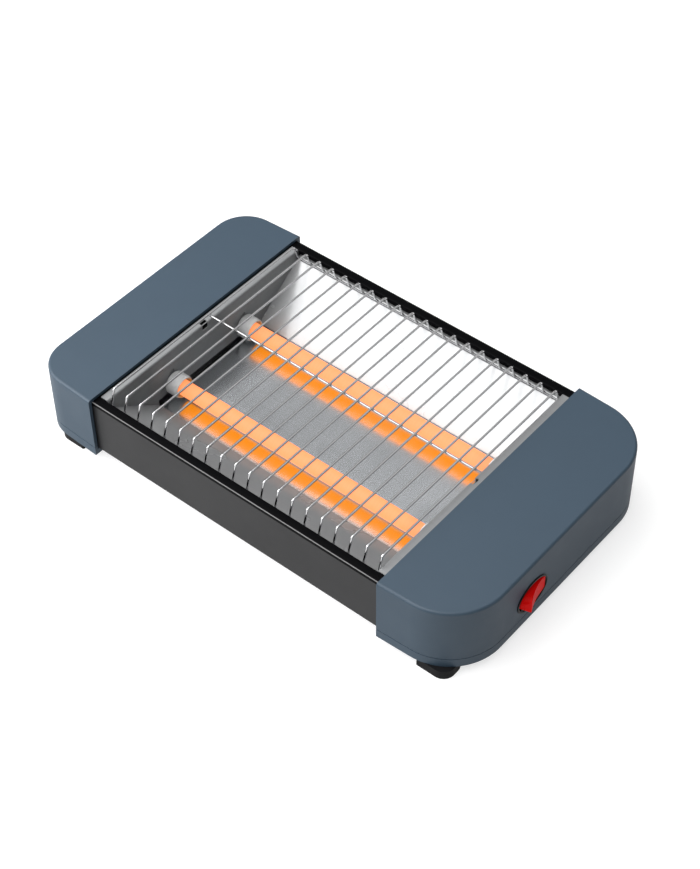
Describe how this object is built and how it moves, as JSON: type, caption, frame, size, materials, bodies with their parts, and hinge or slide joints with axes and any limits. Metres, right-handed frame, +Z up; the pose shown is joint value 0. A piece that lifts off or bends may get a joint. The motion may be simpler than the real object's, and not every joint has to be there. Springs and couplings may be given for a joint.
{
  "type": "flat toaster",
  "caption": "Low rectangular toaster: a long wire rack over two glowing quartz tubes and bright reflectors, between two rounded moulded end caps, with a rocker switch.",
  "frame": {"origin": "bottom centre of the toaster's bounding box, on the table under its feet", "axes": "+X along the toaster towards the rocker switch, +Y towards the back, +Z up"},
  "size_m": [0.3866, 0.225, 0.067],
  "materials": {
    "cap_plastic": "satin moulded slate blue",
    "bulkhead_plastic": "matte black",
    "rim_black": "satin black coating",
    "panel_grey": "satin dark grey coating",
    "plate_steel": "plain rolled sheet",
    "bottom_steel": "plain zinc-coated sheet",
    "reflector_aluminium": "bright rolled",
    "tray_aluminium": "satin, a little dulled by use",
    "pull_plastic": "matte black",
    "rack_chrome": "bright plated wire",
    "glowing_quartz": "milky quartz, glowing orange",
    "coil_wire": "glowing resistance wire",
    "tube_ceramic": "plain fired, light grey",
    "spring_steel": "plain spring sheet",
    "terminal_brass": "plain stamped",
    "bezel_plastic": "gloss black",
    "rocker_red": "gloss red",
    "gland_rubber": "soft black",
    "block_plastic": "off-white",
    "fuse_metal": "bright case",
    "lead_insulation": "grey heat-proof sleeve",
    "foot_rubber": "dark grey, matte",
    "screw_steel": "zinc plated"
  },
  "bodies": {
    "body": {"left_end_cap": "cap_plastic", "right_end_cap": "cap_plastic", "left_base_cover": "cap_plastic", "right_base_cover": "cap_plastic", "left_bulkhead": "bulkhead_plastic", "right_bulkhead": "bulkhead_plastic", "front_rim": "rim_black", "back_rim": "rim_black", "front_panel": "panel_grey", "back_panel": "panel_grey", "left_end_plate": "plate_steel", "right_end_plate": "plate_steel", "bottom_plate": "bottom_steel", "left_tray_runner": "bottom_steel", "right_tray_runner": "bottom_steel", "front_reflector": "reflector_aluminium", "back_reflector": "reflector_aluminium", "cross_wires": "rack_chrome", "centre_rod": "rack_chrome", "front_rack_rod": "rack_chrome", "back_rack_rod": "rack_chrome", "front_quartz_tube": "glowing_quartz", "back_quartz_tube": "glowing_quartz", "front_heating_coil": "coil_wire", "back_heating_coil": "coil_wire", "front_left_ceramic": "tube_ceramic", "front_right_ceramic": "tube_ceramic", "back_left_ceramic": "tube_ceramic", "back_right_ceramic": "tube_ceramic", "ceramic_clips": "spring_steel", "fuse_clip": "spring_steel", "coil_terminals": "terminal_brass", "switch_blades": "terminal_brass", "switch_housing": "bezel_plastic", "cord_gland": "gland_rubber", "terminal_block": "block_plastic", "thermal_fuse": "fuse_metal", "internal_leads": "lead_insulation", "front_left_foot": "foot_rubber", "front_right_foot": "foot_rubber", "back_left_foot": "foot_rubber", "back_right_foot": "foot_rubber", "cap_screws": "screw_steel", "chassis_screws": "screw_steel", "panel_screws": "screw_steel", "leg_screws": "screw_steel"},
    "rocker": {"switch_rocker": "rocker_red"},
    "tray": {"crumb_tray": "tray_aluminium", "crumb_tray_pull": "pull_plastic"}
  },
  "joints": [
    {"name": "rocker_tilt", "type": "hinge", "parent": "body", "child": "rocker", "pos_m": [0.18271, -0.036, 0.031], "axis": [0, 0, 1], "range_deg": [-30, 0]},
    {"name": "tray_slide", "type": "slide", "parent": "body", "child": "tray", "axis": [0, 1, 0], "range_m": [0, 0.14]}
  ]
}
